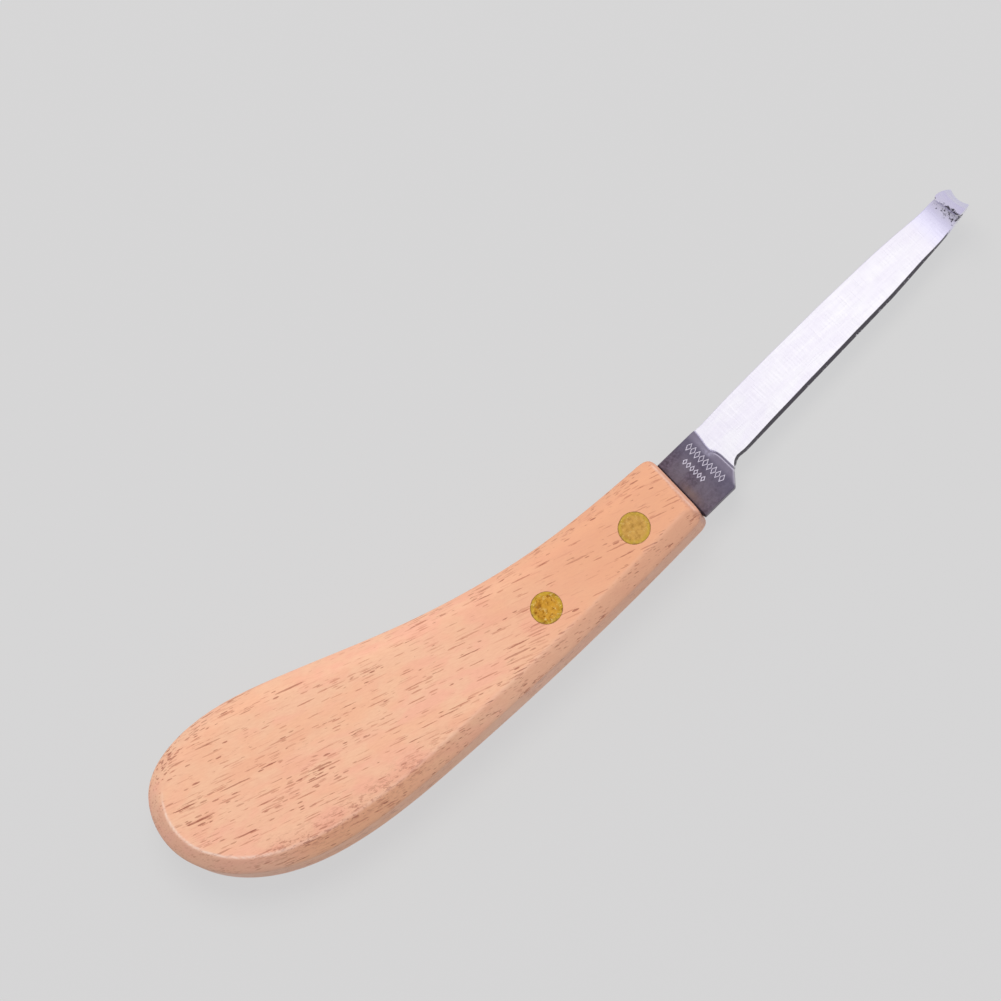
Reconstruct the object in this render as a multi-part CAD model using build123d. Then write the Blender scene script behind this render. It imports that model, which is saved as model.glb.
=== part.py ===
from build123d import *

import math
import os

# A hoof knife, in millimetres and degrees. While it is drawn, X = 0 is the handle's front end, Y = 0 is the
# middle of the blade there and Z = 0 is the middle of the handle's thickness. The blade points along +X,
# its cutting edge looks to -Y and its hook curls up towards +Z. At the end, all pieces are moved together,
# so that the origin is under the middle of the knife, on the surface that it lies on.

# Handle: one piece of wood.
HANDLE_THICKNESS = 17.5
HANDLE_BEVEL = 3.0  # round both faces
END_BEVEL = 1.2  # at the front end
END_CORNER = 1.8  # radius of the front end's two corners
END_SLANT = 2.7  # the front end leans back towards the cutting-edge side
END_BELLY_Y = -7.65
END_BACK_Y = 8.95
END_BACK_SLOPE = -0.1  # the spine side narrows towards the front end
BELLY = [(-42.0, -6.6), (-69.6, -4.65), (-92.0, -1.7), (-109.5, 4.65), (-118.9, 12.95)]  # cutting-edge side
BACK = [(-122.8, 23.9), (-117.4, 35.65), (-105.6, 38.7), (-84.0, 32.9), (-57.6, 21.35), (-30.0, 12.9)]

# Blade: one piece of steel, from the tang's end to the hook's lip.
STEEL = 2.5  # thickness of the tang and the ricasso
TANG_WIDTH = 10.0
TANG_LENGTH = 46.0
TANG_ANGLE = 4.0  # the tang rises to the spine side as it goes back, along the handle's neck
TANG_Y = -0.2  # middle of the tang at the handle's front end
TANG_END_RADIUS = 3.0
RICASSO_LENGTH = 10.0
RICASSO_BACK_Y = 7.3
RICASSO_BELLY_Y = -7.1
SHOULDER = (7.6, -7.3)  # where the ricasso's lower corner is cut off
CHOIL = (10.2, -4.55)  # where the cutting edge begins
EDGE_START = (12.6, -3.35)
EDGE_Y = -3.65
EDGE_STRAIGHT_TO = 56.0
SPINE = [(10.0, 6.9), (46.0, 5.95), (62.4, 5.1)]
SPINE_DROP = 0.15  # the ground face lies this far under the ricasso's face, at the spine
EDGE_DROP = 1.55  # and at the cutting edge
TIP_THICKNESS = 1.2  # of the steel in the hook
BEVEL_WIDTH = 0.75  # sharpened bevel
BEVEL_LAND = 0.15  # steel left under the sharpened bevel

# Hook: the tip is rolled over an axis that is a little askew to the blade. It narrows to a waist half way up,
# and widens again to its lip.
BEND_X = 70.4
BEND_SKEW = 1.0
BEND_BACK_Y = 4.2
BEND_BELLY_Y = -2.8
EASE_RADIUS = 32.0  # outer radius of the gentle start of the bend
EASE_TURN = 11.8
HOOK_RADIUS = 4.7  # outer radius of the roll
HOOK_TURN = 178.0  # whole turn, before the lip is trimmed
WAIST_BACK_Y = 3.1
WAIST_BELLY_Y = -2.4
LIP_X = 77.2  # middle of the trimmed lip
LIP_SLANT = 11.5
LIP_BACK_Y = 3.5
LIP_BELLY_Y = -3.3
LIP_CORNER = 0.9

# Slot in the handle, and the cutlery rivets through it.
SLOT_GAP = 0.1
SLOT_END_GAP = 0.8
RIVET_X = {"front": -12.3, "rear": -35.9}
RIVET_HEAD_RADIUS = 3.3
RIVET_HEAD_DEPTH = 2.0
RIVET_TUBE_RADIUS = 2.0
RIVET_PIN_RADIUS = 1.2
RIVET_CLEARANCE = 0.4  # between the tube's mouth and the pin's head

HALF_HANDLE = HANDLE_THICKNESS / 2
HALF_STEEL = STEEL / 2
REACH = 200.0  # longer than the knife, for cutting solids


def handle_plan(front_x):
    """The handle's outline, ending at front_x."""
    belly_end = (front_x, END_BELLY_Y)
    back_end = (front_x, END_BACK_Y + END_BACK_SLOPE * front_x)
    side = Spline(belly_end, *BELLY, *BACK, back_end, tangents=[(-1, 0), (1, END_BACK_SLOPE)])
    return make_face(Curve() + [side, Line(back_end, belly_end)])


def end_x(y):
    """Where the handle's slanted front end lies at y."""
    return (y - END_BACK_Y) * math.tan(math.radians(END_SLANT))


def end_trim():
    """Everything behind the handle's slanted front end, with its two corners rounded."""
    far_back = (-REACH, END_BACK_Y - END_BACK_SLOPE * REACH)
    far_belly = (-REACH, END_BELLY_Y)
    sides = [far_back, (0, END_BACK_Y), (end_x(END_BELLY_Y), END_BELLY_Y), far_belly]
    plan = make_face(Polyline(*sides, close=True))
    plan = fillet(plan.vertices().sort_by(Axis.X)[-2:], END_CORNER)
    behind = Pos(-REACH / 2 - 2 * END_CORNER, 0) * Rectangle(REACH, REACH)
    return extrude(plan + behind, amount=HALF_HANDLE, both=True)


def tang_block(width, length, thickness):
    """A bar from inside the ricasso back into the handle, with a rounded end."""
    plan = Pos((RICASSO_LENGTH / 2 - length) / 2, 0) * Rectangle(length + RICASSO_LENGTH / 2, width)
    plan = fillet(plan.vertices().sort_by(Axis.X)[:2], TANG_END_RADIUS)
    return Pos(0, TANG_Y) * Rot(0, 0, -TANG_ANGLE) * extrude(plan, amount=thickness / 2, both=True)


def rivet_place(x):
    return Pos(x, TANG_Y - x * math.tan(math.radians(TANG_ANGLE)), 0)


def rod(radius, low, high):
    return Pos(0, 0, low) * Cylinder(radius, high - low, align=(Align.CENTER, Align.CENTER, Align.MIN))


def handle():
    body = extrude(handle_plan(HANDLE_BEVEL - END_BEVEL), amount=HALF_HANDLE, both=True)
    rims = body.faces().sort_by(Axis.Z)[0].edges() + body.faces().sort_by(Axis.Z)[-1].edges()
    body = chamfer(rims, HANDLE_BEVEL) & end_trim()
    slot_width = TANG_WIDTH + 2 * SLOT_GAP
    body -= tang_block(slot_width, TANG_LENGTH + SLOT_END_GAP, STEEL + 2 * SLOT_GAP)
    for x in RIVET_X.values():
        body -= rivet_place(x) * rod(RIVET_TUBE_RADIUS, -HALF_HANDLE, HALF_HANDLE)
        body -= rivet_place(x) * rod(RIVET_HEAD_RADIUS, HALF_HANDLE - RIVET_HEAD_DEPTH, HALF_HANDLE)
        body -= rivet_place(x) * rod(RIVET_HEAD_RADIUS, -HALF_HANDLE, RIVET_HEAD_DEPTH - HALF_HANDLE)
    return body


def bend_line(y):
    """The point at y on the line where the hook's bend begins."""
    middle = (BEND_BACK_Y + BEND_BELLY_Y) / 2
    return (BEND_X - (y - middle) * math.tan(math.radians(BEND_SKEW)), y)


def blade_plan():
    """Ricasso and straight blade, from the handle's slanted end to the line where the bend begins."""
    heel = (end_x(RICASSO_BELLY_Y), RICASSO_BELLY_Y)
    top = (end_x(RICASSO_BACK_Y), RICASSO_BACK_Y)
    edge_end = bend_line(BEND_BELLY_Y)
    straight_end = (EDGE_STRAIGHT_TO, EDGE_Y)
    spine = Spline(*SPINE, bend_line(BEND_BACK_Y))
    tip = Line(bend_line(BEND_BACK_Y), edge_end)
    curved_edge = TangentArc(straight_end, edge_end, tangent=(1, 0))
    straight_edge = Line(straight_end, EDGE_START)
    choil = ThreePointArc(EDGE_START, (10.9, EDGE_Y), CHOIL)
    ricasso = Polyline(CHOIL, SHOULDER, heel, top, SPINE[0])
    return make_face(Curve() + [spine, tip, curved_edge, straight_edge, choil, ricasso])


def ground_face(x, spine_z, edge_z):
    """Cross-section at x of the steel that grinding takes off the front face."""
    side = RICASSO_BACK_Y
    corners = [(side, spine_z), (side, STEEL), (-side, STEEL), (-side, edge_z)]
    return Plane.YZ.offset(x) * make_face(Polyline(*corners, close=True))


def edge_bevel(x, edge_y, face_z):
    """Cross-section at x of the steel that sharpening takes off the cutting edge."""
    toe_z = BEVEL_LAND - HALF_STEEL
    slope = (face_z - toe_z) / BEVEL_WIDTH
    inner = (edge_y + 2 * BEVEL_WIDTH, toe_z + 2 * slope * BEVEL_WIDTH)
    outer = (edge_y - BEVEL_WIDTH, toe_z - slope * BEVEL_WIDTH)
    return Plane.YZ.offset(x) * make_face(Polyline(inner, outer, (outer[0], inner[1]), close=True))


def hook():
    """The rolled tip: a bent strip, trimmed to its slanted sides and lip."""
    back = -HALF_STEEL
    face = back + TIP_THICKNESS
    ease_out = JernArc((0, back), (1, 0), EASE_RADIUS, EASE_TURN)
    roll_out = JernArc(ease_out @ 1, ease_out % 1, HOOK_RADIUS, HOOK_TURN - EASE_TURN)
    ease_in = JernArc((0, face), (1, 0), EASE_RADIUS - TIP_THICKNESS, EASE_TURN)
    roll_in = JernArc(ease_in @ 1, ease_in % 1, HOOK_RADIUS - TIP_THICKNESS, HOOK_TURN - EASE_TURN)
    ends = [Line((0, back), (0, face)), Line(roll_out @ 1, roll_in @ 1)]
    profile = make_face(Curve() + [ease_out, roll_out, ease_in, roll_in] + ends)
    strip = extrude(Plane.XZ * profile, amount=4 * HOOK_RADIUS, both=True)
    strip = Pos(*bend_line((BEND_BACK_Y + BEND_BELLY_Y) / 2), 0) * Rot(0, 0, BEND_SKEW) * strip
    top = 2 * HOOK_RADIUS
    low = 2 * back
    waist = HOOK_RADIUS + back
    sides = [(BEND_BACK_Y, low), (BEND_BACK_Y, face), (WAIST_BACK_Y, waist), (LIP_BACK_Y, top)]
    sides += [(LIP_BELLY_Y, top), (WAIST_BELLY_Y, waist), (BEND_BELLY_Y, face), (BEND_BELLY_Y, low)]
    width = extrude(Plane.YZ * make_face(Polyline(*sides, close=True)), amount=REACH)
    behind_lip = Box(REACH, REACH, top, align=(Align.MAX, Align.CENTER, Align.MIN))
    lip_cut = Pos(LIP_X, (LIP_BACK_Y + LIP_BELLY_Y) / 2, HOOK_RADIUS) * Rot(0, 0, LIP_SLANT) * behind_lip
    rolled = (strip & width) - lip_cut
    lip = rolled.faces().filter_by(lambda f: abs(f.normal_at().Z) < 0.01 and f.center().Z > HOOK_RADIUS)
    corners = lip.sort_by(Axis.X)[0].edges().filter_by(lambda e: e.length < 2 * TIP_THICKNESS)
    return fillet(corners, LIP_CORNER)


def blade():
    body = extrude(blade_plan(), amount=HALF_STEEL, both=True)
    tip_face = TIP_THICKNESS - HALF_STEEL
    root = ground_face(RICASSO_LENGTH, HALF_STEEL - SPINE_DROP, HALF_STEEL - EDGE_DROP)
    tip = ground_face(BEND_X + 1, tip_face, tip_face)
    body -= loft([root, tip], ruled=True)
    body += hook()
    root_bevel = edge_bevel(RICASSO_LENGTH + 1, EDGE_Y, HALF_STEEL - EDGE_DROP)
    middle_bevel = edge_bevel(EDGE_STRAIGHT_TO, EDGE_Y, HALF_STEEL - EDGE_DROP)
    tip_bevel = edge_bevel(BEND_X, BEND_BELLY_Y, tip_face)
    body -= loft([root_bevel, middle_bevel, tip_bevel], ruled=True)
    body += tang_block(TANG_WIDTH, TANG_LENGTH, STEEL)
    for x in RIVET_X.values():
        body -= rivet_place(x) * rod(RIVET_TUBE_RADIUS, -STEEL, STEEL)
    return body


def rivet_tube(x):
    """The half that goes in from the back: a head with a tube that ends just under the other head."""
    head = rod(RIVET_HEAD_RADIUS, -HALF_HANDLE, RIVET_HEAD_DEPTH - HALF_HANDLE)
    mouth = HALF_HANDLE - RIVET_HEAD_DEPTH - RIVET_CLEARANCE
    tube = rod(RIVET_TUBE_RADIUS, -HALF_HANDLE, mouth)
    bore = rod(RIVET_PIN_RADIUS, RIVET_HEAD_DEPTH - HALF_HANDLE, mouth)
    return rivet_place(x) * (head + tube - bore)


def rivet_pin(x):
    """The half that goes in from the front: a head with a pin that is pressed into the tube."""
    head = rod(RIVET_HEAD_RADIUS, HALF_HANDLE - RIVET_HEAD_DEPTH, HALF_HANDLE)
    pin = rod(RIVET_PIN_RADIUS, RIVET_HEAD_DEPTH + RIVET_CLEARANCE - HALF_HANDLE, HALF_HANDLE)
    return rivet_place(x) * (head + pin)


pieces = {"handle": handle(), "blade": blade()}
for name, x in RIVET_X.items():
    pieces[f"{name}_rivet_tube"] = rivet_tube(x)
    pieces[f"{name}_rivet_pin"] = rivet_pin(x)

whole = Compound(children=[piece.solid() for piece in pieces.values()]).bounding_box()
to_origin = Pos(-whole.center().X, -whole.center().Y, -whole.min.Z)
print("moved by", to_origin.position)

os.makedirs("parts", exist_ok=True)
for name, piece in pieces.items():
    export_step(to_origin * piece.solid(), f"parts/{name}.step")
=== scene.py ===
import math

import bmesh
import bpy
import numpy as np
from mathutils import Matrix, Vector, noise
from mathutils.geometry import delaunay_2d_cdt


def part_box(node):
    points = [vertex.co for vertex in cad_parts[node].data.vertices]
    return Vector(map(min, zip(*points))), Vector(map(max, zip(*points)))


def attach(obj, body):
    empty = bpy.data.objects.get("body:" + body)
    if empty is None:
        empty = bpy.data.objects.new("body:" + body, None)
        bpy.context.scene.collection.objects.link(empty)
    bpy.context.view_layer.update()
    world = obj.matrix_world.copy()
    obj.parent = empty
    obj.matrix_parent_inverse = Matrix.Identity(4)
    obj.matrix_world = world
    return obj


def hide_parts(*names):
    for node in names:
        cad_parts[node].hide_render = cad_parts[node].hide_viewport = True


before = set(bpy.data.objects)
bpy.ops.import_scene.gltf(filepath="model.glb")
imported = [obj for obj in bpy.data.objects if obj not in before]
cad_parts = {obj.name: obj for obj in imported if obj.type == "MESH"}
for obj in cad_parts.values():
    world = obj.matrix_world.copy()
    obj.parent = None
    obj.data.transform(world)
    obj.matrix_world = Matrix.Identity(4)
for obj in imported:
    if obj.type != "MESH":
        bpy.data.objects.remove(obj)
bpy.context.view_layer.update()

# A hoof knife: its looks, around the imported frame. Shapes are worked out in millimetres in the knife's own
# drawing frame: x = 0 is the handle's front end, y = 0 the middle of the blade there and z = 0 the middle of
# the handle's thickness. The blade points along +X, its cutting edge looks to -Y, its hook curls to +Z.
MM = 0.001
FRONT_RIVET_X = -12.3
TANG_Y = -0.2  # the rivets lie on a line from here, which rises to the spine side as it goes back
TANG_SLOPE = math.tan(math.radians(4.0))
HANDLE_LOW, HANDLE_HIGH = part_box("handle")
RIVET_LOW, RIVET_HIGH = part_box("front_rivet_pin")
REAR_LOW, REAR_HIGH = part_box("rear_rivet_pin")
RIVET_AT = (RIVET_LOW + RIVET_HIGH) / 2
ORIGIN = Vector((
    RIVET_AT.x - FRONT_RIVET_X * MM,
    RIVET_AT.y + (FRONT_RIVET_X * TANG_SLOPE - TANG_Y) * MM,
    (HANDLE_LOW.z + HANDLE_HIGH.z) / 2,
))
REAR_RIVET_X = (REAR_LOW.x + REAR_HIGH.x) / 2 / MM - ORIGIN.x / MM

# Handle
HALF = (HANDLE_HIGH.z - HANDLE_LOW.z) / 2 / MM  # half its thickness
SANDED = 0.03  # the wood lies this far under the CAD faces, and the brass in between
BEVEL = 3.1
BEVEL_BULGE = 0.12  # the bevel is a little convex
END_BEVEL = 1.2
END_BACK_Y = 8.95
END_LEAN = math.tan(math.radians(2.7))
END_CORNER = 3.5  # how far behind the front end its rounded corners begin
# Marks of wear and dirt, and of painted light: highlights along the sanded edges, and shade and light on the
# end grain and the lower bevel.
WEAR_AND_PAINTED_LIGHT = ("crease", "rubbed", "end_grain", "bevel")  # stored at the handle's points, for its material

# Handle's mesh: spacing along its outline, near its edges and in the middle of its faces
OUTLINE_STEP, FINE_STEP, COARSE_STEP = 0.35, 0.42, 1.3
RIM_RINGS = (0.08, 0.2, 0.38, 0.62)  # depths of the rings of points just inside the outline
FINE_FROM, FINE_TO = 0.85, 4.2
WALL_ROWS = 12

# Rivets
HEAD_RADIUS = (RIVET_HIGH.x - RIVET_LOW.x) / 2 / MM
HEAD_DEPTH = 2.0
HEAD_EDGE = 0.07
TUBE_RADIUS = 2.0
PIN_RADIUS = 1.2
SEGMENTS = 96  # round a rivet
ROUGH_DEPTH = 0.3  # only what lies this near to the handle's faces is rough
AXIS = 0.001  # the radius at which a cutter's profile begins and ends
CENTRE = 0.02  # and a rivet half's
CLEAR = 0.02  # round the rivets in the wood, and round a pin in its tube

# Blade
STEEL = 2.5
BACK = -STEEL / 2
SPINE_ROUND = 0.07
SPINE_TURNS = [math.radians(turn) for turn in (30, 60, 90)]
TANG_HALF_WIDTH = 5.0
TANG_END = -46.0
TANG_CORNER = 3.0
TIP_STEEL = 1.2
ROOT = 10.0  # where the ground face begins
WIDEST = 7.3  # the ricasso's half width
GROUND_AT_SPINE, GROUND_AT_EDGE = 0.15, 1.55  # how deep the ground face lies at its root
RICASSO_CHAMFER = 0.16
EDGE_LAND = 0.2  # the blunt height left under the sharpened bevel
BEND = 70.55  # where the tip begins to bend
BEND_SKEW = math.radians(1.0)
BEND_MIDDLE = 0.5
EASE_RADIUS, EASE_LENGTH = 32.0, 6.6
ROLL_RADIUS = 4.68
HOOK_TURN = math.radians(168.5)
HOOK_HOLLOW = 0.7  # how far the middle of the curl lies inside its two sides
LIP_ROUND = 1.1
LIP_SLANT = 0.11
LEDGE = -0.3  # from the line where the ground face begins to the little burr along it
ACROSS = 30  # points across each face of a cross-section
STAMP_LINE, STAMP_DEPTH = 0.36, 0.13


def tang_y(x):
    """Y of the line through the rivets."""
    return TANG_Y - x * TANG_SLOPE


def smooth(low, high, x):
    """0 below low, 1 above high and a smooth step between them."""
    t = np.clip((np.asarray(x, float) - low) / (high - low), 0, 1)
    return t * t * (3 - 2 * t)


def hump(x, middle, reach):
    """1 at the middle, fading over reach to both sides."""
    return np.exp(-((x - middle) / reach) ** 2)


def soft_min(a, b, reach):
    """The smaller of a and b, with the corner where they cross rounded over reach."""
    h = np.clip(0.5 + 0.5 * (b - a) / reach, 0, 1)
    return b * (1 - h) + a * h - reach * h * (1 - h)


def wander(x, y, z, size, seed):
    """Smooth noise from about -1 to 1 that changes over about size millimetres."""
    return noise.noise(Vector((x / size + seed, y / size - seed, z / size + 0.7 * seed)))


def make_piece(name, points, faces, material):
    """A mesh object from points in the drawing frame, in millimetres."""
    mesh = bpy.data.meshes.new(name)
    at = np.asarray(points, float) * MM + np.array(ORIGIN)
    mesh.from_pydata([tuple(p) for p in at], [], [tuple(int(i) for i in f) for f in faces])
    bm = bmesh.new()
    bm.from_mesh(mesh)
    bmesh.ops.recalc_face_normals(bm, faces=bm.faces)
    bm.to_mesh(mesh)
    bm.free()
    mesh.shade_smooth()
    mesh.materials.append(material)
    piece = bpy.data.objects.new(name, mesh)
    bpy.context.scene.collection.objects.link(piece)
    return piece


def store(piece, name, values):
    """Keeps one number for each point of the piece's mesh."""
    place = piece.data.attributes.new(name, "FLOAT", "POINT")
    place.data.foreach_set("value", np.asarray(values, np.float32))


def settle(piece):
    """Applies the piece's modifiers to its mesh."""
    bpy.context.view_layer.update()
    done = piece.evaluated_get(bpy.context.evaluated_depsgraph_get())
    mesh = bpy.data.meshes.new_from_object(done)
    piece.modifiers.clear()
    old = piece.data
    piece.data = mesh
    bpy.data.meshes.remove(old)
    mesh.name = piece.name


def cut(piece, cutters):
    """Takes the cutters' solids out of the piece, and removes them."""
    for cutter in cutters:
        modifier = piece.modifiers.new("cut", "BOOLEAN")
        modifier.operation = "DIFFERENCE"
        modifier.solver = "EXACT"
        modifier.material_mode = "TRANSFER"
        modifier.object = cutter
    settle(piece)
    for cutter in cutters:
        bpy.data.objects.remove(cutter)


def sharpen(piece, angle):
    """Marks edges steeper than angle as sharp, so that smooth shading stops at them."""
    bm = bmesh.new()
    bm.from_mesh(piece.data)
    limit = math.radians(angle)
    for edge in bm.edges:
        edge.smooth = not (edge.is_manifold and edge.calc_face_angle(0) > limit)
    bm.to_mesh(piece.data)
    bm.free()


def dented(x, y, z, rough, seed):
    """z of a point of a turned piece, moved in by up to about rough millimetres in the handle's faces."""
    if abs(z) <= HALF - ROUGH_DEPTH:
        return z
    dent = rough * (wander(x, y, z, 0.9, seed) + 0.5 * wander(x, y, z, 0.4, seed + 5))
    return z - math.copysign(abs(dent), z)


def lathe(name, profile, at, material, segments=SEGMENTS, rough=0.0, seed=0.0):
    """A solid of revolution about a line along Z at (x, y). profile is a closed loop of (radius, z)."""
    points = []
    for radius, z in profile:
        for k in range(segments):
            turn = 2 * math.pi * k / segments
            x, y = at[0] + radius * math.cos(turn), at[1] + radius * math.sin(turn)
            points.append((x, y, dented(x, y, z, rough, seed)))
    faces = []
    for ring in range(len(profile)):
        low, high = ring * segments, (ring + 1) % len(profile) * segments
        for k in range(segments):
            nxt = (k + 1) % segments
            faces.append((low + k, low + nxt, high + nxt, high + k))
    return make_piece(name, points, faces, material)


# ---- Handle ----


def chained(verts):
    """The loops that single edges make of the given points, each as a list in order."""
    loops, left = [], set(verts)
    while left:
        at = left.pop()
        loop = [at]
        while at is not None:
            steps = [e.other_vert(at) for e in at.link_edges]
            at = next((v for v in steps if v in left), None)
            if at is not None:
                left.discard(at)
                loop.append(at)
        loops.append(loop)
    return loops


def area(loop):
    """Twice the area inside a closed loop, negative where it runs clockwise."""
    return np.sum(loop[:, 0] * np.roll(loop[:, 1], -1) - loop[:, 1] * np.roll(loop[:, 0], -1))


def in_order(loop):
    """The closed loop, counterclockwise from its foremost point, so that each run makes the same mesh."""
    loop = loop if area(loop) > 0 else loop[::-1]
    return np.roll(loop, -int(loop[:, 0].argmax()), axis=0)


def outline_of(node, height):
    """The longest loop where a level plane cuts a CAD node, as (x, y) in the drawing frame."""
    bm = bmesh.new()
    bm.from_mesh(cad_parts[node].data)
    bmesh.ops.remove_doubles(bm, verts=bm.verts, dist=1e-7)
    everything = bm.verts[:] + bm.edges[:] + bm.faces[:]
    level = Vector((0, 0, ORIGIN.z + height * MM))
    bmesh.ops.bisect_plane(
        bm, geom=everything, dist=1e-8, plane_co=level, plane_no=(0, 0, 1), clear_inner=True, clear_outer=True
    )
    loops = [np.array([((v.co - ORIGIN) / MM)[:2] for v in loop]) for loop in chained(bm.verts)]
    bm.free()
    return in_order(max(loops, key=lambda loop: np.ptp(loop[:, 0])))


def resampled(loop, spacing):
    """The closed loop with evenly spaced points."""
    closed = np.vstack([loop, loop[:1]])
    along = np.concatenate([[0], np.cumsum(np.hypot(*np.diff(closed, axis=0).T))])
    count = int(along[-1] / spacing)
    at = np.linspace(0, along[-1], count, endpoint=False)
    return np.column_stack([np.interp(at, along, closed[:, k]) for k in range(2)])


def between(loop):
    """For each point of a closed loop, the middle between its two neighbours."""
    return (np.roll(loop, 1, axis=0) + np.roll(loop, -1, axis=0)) / 2


def softened(loop, passes):
    """The closed loop with its corners eased, without shrinking it."""
    for _ in range(passes):
        for share in (0.5, -0.52):
            loop = loop + share * (between(loop) - loop)
    return loop


def rounded_front(loop, passes):
    """The closed loop with the handle's front corners rounded; its straight parts stay in place."""
    for _ in range(passes):
        loop = loop + 0.5 * smooth(-9, -6, loop[:, :1]) * (between(loop) - loop)
    return loop


def inward(loop):
    """Unit normals of a closed loop, pointing to its inside."""
    along = np.roll(loop, -1, axis=0) - np.roll(loop, 1, axis=0)
    side = np.column_stack([-along[:, 1], along[:, 0]])
    side /= np.linalg.norm(side, axis=1)[:, None]
    return side if area(loop) > 0 else -side


def nearest(points, line):
    """Each point's distance to the nearest of a line's points, and which one that is."""
    found, which = np.empty(len(points)), np.empty(len(points), int)
    batch = 2000
    for start in range(0, len(points), batch):
        part = points[start:start + batch]
        gap = ((part[:, None, :] - line[None, :, :]) ** 2).sum(2)
        which[start:start + batch] = gap.argmin(1)
        found[start:start + batch] = np.sqrt(gap.min(1))
    return found, which


def inside(points, loop):
    """Which points lie inside a closed loop."""
    x, y = points[:, 0][:, None], points[:, 1][:, None]
    ax, ay = loop[:, 0][None, :], loop[:, 1][None, :]
    bx, by = np.roll(loop[:, 0], -1)[None, :], np.roll(loop[:, 1], -1)[None, :]
    crosses = (ay > y) != (by > y)
    with np.errstate(divide="ignore", invalid="ignore"):
        where = ax + (y - ay) * (bx - ax) / (by - ay)
    return (crosses & (x < where)).sum(1) % 2 == 1


def grid_points(loop, pitch, nearer, further):
    """A triangular grid of points inside the loop, between two distances from it."""
    low, high = loop.min(0), loop.max(0)
    rows = []
    for row, y in enumerate(np.arange(low[1], high[1], pitch * 0.866)):
        x = np.arange(low[0] + (row % 2) * pitch / 2, high[0], pitch)
        rows.append(np.column_stack([x, np.full(len(x), y)]))
    points = np.vstack(rows)
    points = points[inside(points, loop)]
    away, _ = nearest(points, loop)
    return points[(away > nearer) & (away < further)]


def bevelled_height(away, size, end, end_size, melted):
    """The face's height over the handle's middle at points that lie away from its side line and behind its
    front end, for the sizes of the bevels there. melted says how softly the side bevel goes over into the
    face. The outermost edges are rubbed round."""
    along = np.clip(away / size, 0, 1)
    slope = HALF - (size - away) + 4 * BEVEL_BULGE * along * (1 - along)
    slope = slope - 0.9 * np.clip(0.5 - away, 0, 1) ** 2
    end_slope = HALF - (end_size - end) - 0.5 * np.clip(0.35 - end, 0, 1) ** 2
    top = np.full(len(away), HALF - SANDED)
    return soft_min(soft_min(slope, top, 0.3 + 1.3 * melted), end_slope, 0.3)


def crease_highlights(x, y, past_bevel, end, past_end, melted):
    """Painted highlights along the sanded edges: the side bevel's inner one, strongest at the butt, and both
    at the front end."""
    butt = 1 - smooth(-115, -98, x)
    side = (0.3 + 0.7 * butt) * (1 - melted) * hump(past_bevel, 0.1, 0.35 - 0.13 * butt)
    side = side * smooth(-0.3, 1.5, past_end)
    inner = 0.95 * hump(end, 0.64, 0.17) * smooth(8.0, 6.5, y) * smooth(-7.2, -5.0, y)
    outer = 0.3 * hump(end, 0.12, 0.2)
    return np.clip(side + inner + outer, 0, 1)


def sanded_face(points, side_line, facing, seed):
    """The sanded face's height over the handle's middle at each point, and then its marks in their stored
    order:
    painted highlights along the sanded edges, dirt rubbed in beside the bevel, the end grain, which the
    material paints darker as shade, and the lower bevel, on which it paints shade and light. facing is how
    far each point of the side line looks to +Y, where the bevel melts into the face."""
    x, y = points.T
    away, which = nearest(points, side_line)
    melted = smooth(0.35, 0.85, facing[which])
    end = (y - END_BACK_Y) * END_LEAN - x
    waver = np.array([wander(px, py, seed, 22, seed) for px, py in points])
    size = BEVEL + 0.2 * waver
    end_size = END_BEVEL - 0.07 * np.clip(y - 1, -6, 6) + 0.1 * waver
    height = bevelled_height(away, size, end, end_size, melted)
    height = height + 0.02 * np.array([wander(px, py, 0, 9, seed + 3) for px, py in points])
    crease = crease_highlights(x, y, away - size, end, end - end_size, melted)
    rubbed = (1 - smooth(-86, -58, x)) * smooth(-114, -104, x) * (1 - melted) * hump(away - size, 0.6, 2.2)
    # The front end bevel: end grain, kept free of pores, which the material also paints darker as shade.
    end_grain = 1 - smooth(0.6 * end_size, end_size + 0.1, end)
    # The lower bevel, on which the material paints shade and light.
    bevel = (1 - smooth(size - 0.35, size, away)) * (1 - melted)
    return height, crease, rubbed, end_grain, bevel


def handle_outline():
    """The handle from above: the CAD outline, a hair smaller and with softer corners."""
    loop = softened(resampled(outline_of("handle", 4.0), OUTLINE_STEP), 4)
    loop = rounded_front(loop, 20)
    return loop + 0.012 * inward(loop)


def bevelled_side(loop, normal):
    """The line that the side bevels follow, which runs on straight past the handle's front end, and how far
    each of its points looks to +Y."""
    front = loop[:, 0] > loop[:, 0].max() - END_CORNER
    sides = loop[~front]
    top_side, belly_side = sides[sides[:, 1] > 0], sides[sides[:, 1] < 0]
    ahead = np.linspace(0, 8, 30)[:, None]
    back_end = top_side[top_side[:, 0].argmax()]
    belly_end = belly_side[belly_side[:, 0].argmax()]
    line = np.vstack([sides, back_end + ahead * (1, -0.1), belly_end + ahead * (1, 0)])
    facing = np.concatenate([-normal[~front][:, 1], np.ones(len(ahead)), -np.ones(len(ahead))])
    return line, facing


def filled(loop, normal):
    """Triangles that fill the loop, smaller near its edge: points, triangles, and the loop's own points in
    order."""
    rings = [loop + normal * depth for depth in RIM_RINGS]
    fine = grid_points(loop, FINE_STEP, FINE_FROM, FINE_TO)
    coarse = grid_points(loop, COARSE_STEP, FINE_TO, math.inf)
    count = len(loop)
    border = [(k, (k + 1) % count) for k in range(count)]
    given = np.vstack([loop] + rings + [fine, coarse])
    made = delaunay_2d_cdt([Vector(p) for p in given], border, [], 1, 1e-6)
    new_index = {old: new for new, olds in enumerate(made[3]) for old in olds}
    flat = np.array([tuple(p) for p in made[0]])
    return flat, [tuple(f) for f in made[2]], [new_index[k] for k in range(count)]


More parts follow.
